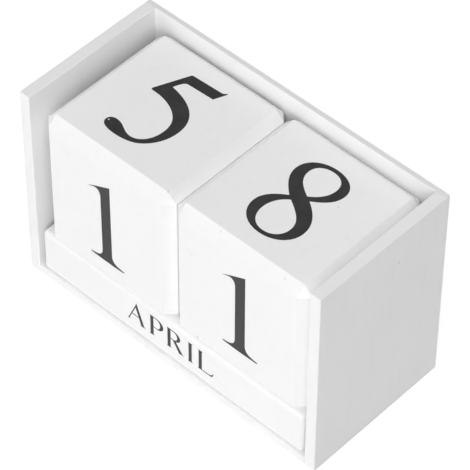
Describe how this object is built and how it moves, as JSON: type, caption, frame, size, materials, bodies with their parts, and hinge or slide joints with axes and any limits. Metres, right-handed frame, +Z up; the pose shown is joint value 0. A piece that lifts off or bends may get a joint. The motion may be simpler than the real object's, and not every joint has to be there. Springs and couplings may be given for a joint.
{
  "type": "perpetual block calendar",
  "caption": "White wooden desk calendar: an open case with two bevelled day blocks resting on square month bars that slide out at the front.",
  "frame": {"origin": "middle of the underside of the case", "axes": "+Z up, +X to the reader's right along the case, +Y to the back; the open front with the dates faces -Y"},
  "size_m": [0.119, 0.055, 0.076],
  "materials": {
    "case_paint": "wood painted satin white",
    "block_paint": "wood painted satin white",
    "bar_paint": "wood painted satin white",
    "brad_steel": "steel brads painted over in white"
  },
  "bodies": {
    "case": {"base_board": "case_paint", "left_side_panel": "case_paint", "right_side_panel": "case_paint", "back_panel": "case_paint", "back_panel_brads": "brad_steel"},
    "tens_block": {"tens_block": "block_paint"},
    "units_block": {"units_block": "block_paint"},
    "month_bar_rear": {"month_bar_rear": "bar_paint"},
    "month_bar_middle": {"month_bar_middle": "bar_paint"},
    "month_bar_front": {"month_bar_front": "bar_paint"}
  },
  "joints": [
    {"name": "tens_block_lift", "type": "slide", "parent": "case", "child": "tens_block", "axis": [0, 0, 1], "range_m": [0, 0.06]},
    {"name": "units_block_lift", "type": "slide", "parent": "case", "child": "units_block", "axis": [0, 0, 1], "range_m": [0, 0.06]},
    {"name": "month_bar_rear_slide", "type": "slide", "parent": "case", "child": "month_bar_rear", "axis": [0, -1, 0], "range_m": [0, 0.055]},
    {"name": "month_bar_middle_slide", "type": "slide", "parent": "month_bar_rear", "child": "month_bar_middle", "axis": [0, -1, 0], "range_m": [0, 0.038]},
    {"name": "month_bar_front_slide", "type": "slide", "parent": "month_bar_middle", "child": "month_bar_front", "axis": [0, -1, 0], "range_m": [0, 0.02]}
  ]
}
